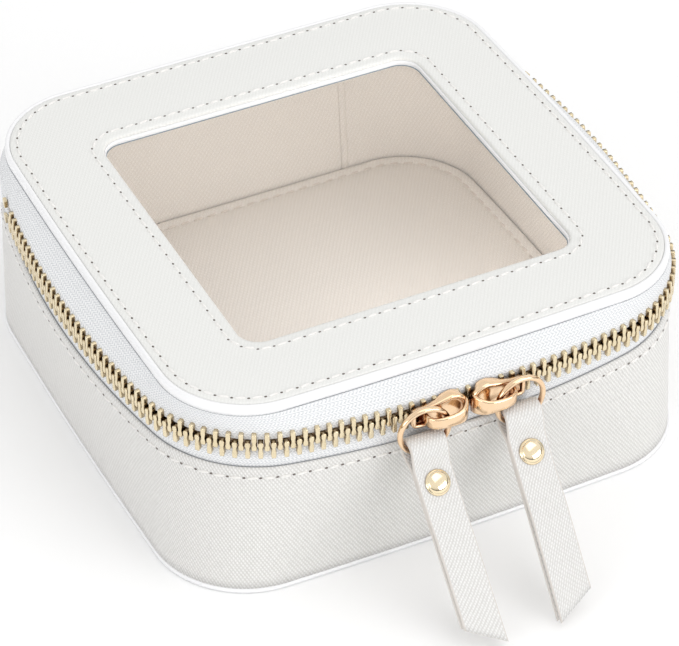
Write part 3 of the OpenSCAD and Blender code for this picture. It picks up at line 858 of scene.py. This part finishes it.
def build_hinge():
    """Leatherette strip across the back, between case and lid."""
    heights = np.concatenate([np.linspace(WALL_H - 0.6, ZIP_Z - TAPE_STRAIGHT, 5),
                              np.linspace(ZIP_Z - TAPE_STRAIGHT + 0.3, ZIP_Z + TAPE_STRAIGHT - 0.3, 13),
                              np.linspace(ZIP_Z + TAPE_STRAIGHT, RIM_Z + 0.4, 6)])
    columns = []
    for z in heights:
        ring = tape_ring(z, 0.0)
        half, y = ring[0][0], ring[0][1]
        xs = np.linspace(-half - 0.6, half + 0.6, 25)
        outside = [(x, y + 0.03 - 0.02 * (abs(x) / half) ** 8, z) for x in xs]
        inside = [(x, y - TAPE_T - 0.1, z) for x in xs[::-1]]
        columns.append(outside + inside)
    obj = loft("hinge_strip", columns, closed=False, fill=(0, len(columns) - 1))
    obj.data.materials.append(LEATHER)
    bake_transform(obj)
    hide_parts("hinge_strip_lower", "hinge_strip_upper")


# ---- sliders, rings and pulls ----


def slider_outline(grow):
    """Shield outline: round nose towards +X, tapering to a blunt tail with rounded corners."""
    nose, nose_x, tail, tail_x, corner = 3.7, 2.5, 2.3, -6.2, 1.1
    sweep = 98
    hollow = 0.28 if grow > -1 else 0.14
    front = arc(nose_x, 0, nose + grow, -sweep, sweep, 32)
    upper = arc(tail_x + corner, tail - corner, max(corner + grow, 0.12), sweep, 180, 7)
    waist = np.array([mix(front[-1], upper[0], f) - [0, hollow * math.sin(math.pi * f)]
                      for f in (0.2, 0.4, 0.6, 0.8)])
    return np.vstack([front, waist, upper, upper[::-1] * [1, -1], waist[::-1] * [1, -1]])


def local_piece(name, local_rings, place, flip):
    """Closed piece lofted in the slider's own axes; flip is -1 where its nose points the other way."""
    rings = []
    for ring in local_rings:
        ring = np.array(ring, float) * [flip, 1, 1]
        rings.append(ring @ place[:3, :3].T + place[:3, 3])
    return loft(name, rings, closed=False, fill=(0, len(rings) - 1))


def rounded_bar(centres, widths, thick, steps=5):
    """Flat bar with rounded edges bent along centres (x, out, v); the widths lie along v."""
    rings = []
    centres = np.array(centres, float)
    r = thick / 2
    for k, c in enumerate(centres):
        d = unit(centres[min(k + 1, len(centres) - 1)] - centres[max(k - 1, 0)])
        side = np.array([0.0, 0.0, 1.0])
        top = unit(np.cross(side, d))
        ring = []
        for sign in (1, -1):
            for w in np.linspace(-math.pi / 2, math.pi / 2, steps + 1):
                reach = sign * (widths[k] / 2 - r + r * math.cos(w))
                ring.append(c + side * reach + top * sign * r * math.sin(w))
        rings.append(ring)
    return rings


def build_slider(side, label):
    """Outer plate with turned-in flanges, a raised rim, a recess and a bridge over the ring."""
    body = "slider_" + label
    middle = (high(body)[0] + low(body)[0]) / 2
    place = zip_frame(middle)
    flip = -side
    under = 1.42
    profile = [(-2.6, under), (-0.75, under), (-0.62, 1.3), (-0.6, 0.5), (-0.3, 0.42), (-0.05, 0.55),
               (0.0, 0.9), (0.0, 2.15), (-0.08, 2.45), (-0.3, 2.68), (-0.6, 2.74), (-0.88, 2.62),
               (-1.08, 2.3), (-1.3, 2.02), (-1.7, 1.92), (-2.6, 1.9)]
    rings = []
    for grow, n in profile:
        x, v = slider_outline(grow).T
        flange = smoothstep(np.clip((abs(v) - 2.85) / 0.3, 0, 1))
        out = np.full(len(x), n) if n > under else mix(under, n, flange)
        rings.append(np.column_stack([x, -out, v]))
    shell = local_piece(body + "_shell", rings, place, flip)
    finish_piece(shell, body, "rose_gold", body, material=ROSE)
    curve = [(5.6, 1.9), (5.45, 2.7), (5.1, 3.5), (4.5, 4.25), (3.7, 4.8), (2.7, 5.1), (1.6, 5.22),
             (0.5, 5.25), (-0.6, 5.2), (-1.6, 5.0), (-2.4, 4.6), (-2.95, 4.0), (-3.2, 3.2), (-3.25, 2.5),
             (-3.25, 1.95)]
    widths = [4.6, 4.5, 4.2, 3.8, 3.4, 3.05, 2.85, 2.75] + [2.7] * 7
    bar = rounded_bar([(x, -n, -0.25) for x, n in curve], widths, BRIDGE_T)
    bridge = local_piece(body + "_bridge", bar, place, flip)
    finish_piece(bridge, body, "rose_gold", material=ROSE)
    inner = [[(x, n, v) for x, v in slider_outline(grow)] for grow, n in
             ((-0.9, 1.5), (-0.6, 1.5), (-0.42, 1.65), (-0.42, 2.05), (-0.6, 2.22), (-1.2, 2.26))]
    back = local_piece(body + "_inner_plate", inner, place, flip)
    finish_piece(back, body, "rose_gold", "slider_back_" + label, material=ROSE)


def build_ring(label):
    """Round wire ring, its wire slightly flattened."""
    node = "ring_" + label
    centre = (high(node) + low(node)) / 2
    place = zip_frame(centre[0])
    major = (high(node)[2] - low(node)[2]) / 2 - WIRE_R
    rings = []
    for w in np.linspace(0, 2 * math.pi, 72, endpoint=False):
        radial = place[:3, 0] * math.cos(w) + place[:3, 2] * math.sin(w)
        ring = []
        for q in np.linspace(0, 2 * math.pi, 14, endpoint=False):
            squeeze = 1.0 - 0.06 * math.cos(2 * q)
            ring.append(centre + radial * (major + WIRE_R * math.cos(q) * squeeze)
                        + place[:3, 1] * WIRE_R * math.sin(q))
        rings.append(ring)
    obj = loft("pull_ring_" + label, rings)
    finish_piece(obj, node, "rose_gold", node, material=ROSE)


def strap_length():
    """Length from the ring to the middle of the slanted tip."""
    drop = joint_place("pull_left_swing")[2] - low("strap_left")[2]
    reach = (drop - STRAP_T * math.sin(STRAP_ANGLE)) / math.cos(STRAP_ANGLE)
    return reach - STRAP_SLANT / 2


def strap_path(layers_open):
    """Centre line of the folded strap seen from its side, front tip first: out, up, share of slant."""
    half = STRAP_T / 2 + 0.06
    outer = LOOP_R + STRAP_T / 2
    length = strap_length()
    down = np.linspace(0, 1, 22)
    path = []
    for f in down:
        z = mix(-length, -STRAP_CLOSE, f)
        ease = smoothstep(np.clip(-(z + RIVET_DROP + 2.4) / 12, 0, 1))
        path.append((half + layers_open * ease, z, 1 - f))
    widening = np.linspace(0.12, 1, 7)
    for w in widening[:-1]:
        path.append((mix(half, outer, smoothstep(w)), mix(-STRAP_CLOSE, 0, w), 0))
    for x, z in arc(0, 0, outer, 0, 180, 16):
        path.append((x, z, 0))
    for w in widening[-2::-1]:
        path.append((-mix(half, outer, smoothstep(w)), mix(-STRAP_CLOSE, 0, w), 0))
    for f in down[::-1]:
        path.append((-half, mix(-length + 0.4, -STRAP_CLOSE, f), 1 - f))
    return np.array(path)


def strap_section():
    """Cross-section of one strap layer, its painted edges rounded: 7 points a side, 7 across."""
    edge = STRAP_T / 2
    bulge = edge * 0.7
    flat = STRAP_W / 2 - bulge
    section = []
    for side in (1, -1):
        for w in np.linspace(-math.pi / 2, math.pi / 2, EDGE_POINTS):
            section.append((side * (flat + bulge * math.cos(w)), side * edge * math.sin(w)))
        for x in np.linspace(flat, -flat, 9)[1:-1]:
            section.append((side * x, side * edge))
    return section


def build_strap(side, label):
    """Folded strap round the ring, its tips cut at a slant, with its rivet."""
    hinge = joint_place("pull_%s_swing" % label)
    across = unit(-np.array(JOINTS["pull_%s_swing" % label]["axis"]))
    vertical = np.array([0, 0, 1.0])
    forward = unit(np.cross(across, vertical))
    if forward[1] > 0:
        forward = -forward
    up = unit(vertical * math.cos(STRAP_ANGLE) - forward * math.sin(STRAP_ANGLE))
    out = unit(forward * math.cos(STRAP_ANGLE) + vertical * math.sin(STRAP_ANGLE))
    path = strap_path(0.75 if side > 0 else 0.4)
    points = path[:, :2]
    along = running(points)
    section = strap_section()
    n, last = len(section), len(path) - 1
    verts, faces, grain = [], [], []
    for k, (o, z, end) in enumerate(path):
        d = unit(points[min(k + 1, last)] - points[max(k - 1, 0)])
        for x, thick in section:
            slant = -side * x / (STRAP_W / 2) * STRAP_SLANT / 2 * end
            verts.append(hinge + across * x + out * (o + d[1] * thick) + up * (z - d[0] * thick - slant))
    for k in range(last):
        for i in range(n):
            ni = (i + 1) % n
            faces.append((k * n + i, k * n + ni, (k + 1) * n + ni, (k + 1) * n + i))
            xi, xn = section[i][0], section[ni][0]
            grain += [(xi, along[k]), (xn, along[k]), (xn, along[k + 1]), (xi, along[k + 1])]
    for k in (0, last):
        faces.append(tuple(k * n + i for i in range(n)))
        grain += [(x, along[k] + thick) for x, thick in section]
    obj = make_mesh("pull_strap_" + label, verts, faces, grain)
    finish_piece(obj, "pull_" + label, "leatherette", "strap_" + label, material=STRAP_LEATHER)
    obj.data.materials.append(EDGE_PAINT)
    for index, polygon in enumerate(obj.data.polygons):
        if index >= last * n or index % (n // 2) < EDGE_POINTS - 1:
            polygon.material_index = 1
    build_rivet(label, hinge - up * RIVET_DROP, across, out, up)


def turned(name, profile, centre, x, y, axis):
    """Piece turned round an axis from its radii and heights."""
    circle = arc(0, 0, 1, 0, 360, 40)[:-1]
    rings = [[centre + (x * c + y * s) * r + axis * h for c, s in circle] for r, h in profile]
    return loft(name, rings, closed=False, fill=(0, len(rings) - 1))


def build_rivet(label, centre, across, out, up):
    """Domed cap with a rolled rim in front, and its flat back cap behind."""
    face = STRAP_T + 0.06
    cap = [(0.75, face - 0.4), (2.35, face - 0.02), (2.6, face + 0.06), (2.68, face + 0.2),
           (2.6, face + 0.36), (2.42, face + 0.44), (2.3, face + 0.5)]
    cap += [(2.25 * math.cos(w), face + 0.5 + 0.72 * math.sin(w)) for w in np.linspace(0.12, 1.5, 9)]
    obj = turned("rivet_cap_" + label, cap, centre, across, up, out)
    finish_piece(obj, "pull_" + label, "rivet_gold", "rivet_" + label, material=RIVET_GOLD)
    back = [(0.75, face - 0.4), (2.3, face), (2.6, face + 0.12), (2.55, face + 0.32), (2.2, face + 0.46),
            (1.2, face + 0.52)]
    rear = turned("rivet_back_cap_" + label, back, centre, across, up, -out)
    finish_piece(rear, "pull_" + label, "rivet_gold", "rivet_back_" + label, material=RIVET_GOLD)


def dress_cad_nodes():
    """Materials for the CAD nodes that stay."""
    looks = {"bottom_board": BOARD, "wall_board": BOARD, "lid_board": BOARD, "floor_foam": FOAM,
             "lid_lining": LINING, "lower_end_stops": BRASS, "upper_end_stops": BRASS}
    for node, material in looks.items():
        obj = frame["nodes"][node]
        if not obj.data.materials:
            obj.data.materials.append(material)
        for index in range(len(obj.material_slots)):
            obj.material_slots[index].material = material


bpy.context.scene.view_settings.view_transform = "Standard"
add_camera()
add_world()
add_floor()
add_area("key", (0.25, -0.45, 1.0), (0, 0, 0.02), (0.8, 0.8), 1.75)
add_area("front", (0.6, -1.0, 0.32), (0, 0, 0.03), (0.8, 0.35), 3.4)
add_area("side", (-1.0, -0.55, 0.35), (0, 0, 0.03), (0.8, 0.35), 2.3)
add_area("inside", (0.03, -0.035, 0.034), (-0.03, 0.055, 0.024), (0.05, 0.02), 0.016, mirrored=False)

build_bottom()
build_wall()
build_lining()
build_floor_pad()
build_wall_stitches()
build_lid_cover()
build_lid_rim()
build_window()
build_lines()
build_lid_stitches()
build_tapes()
build_teeth()
build_hinge()
for side, label in ((-1, "left"), (1, "right")):
    build_slider(side, label)
    build_ring(label)
    build_strap(side, label)
dress_cad_nodes()
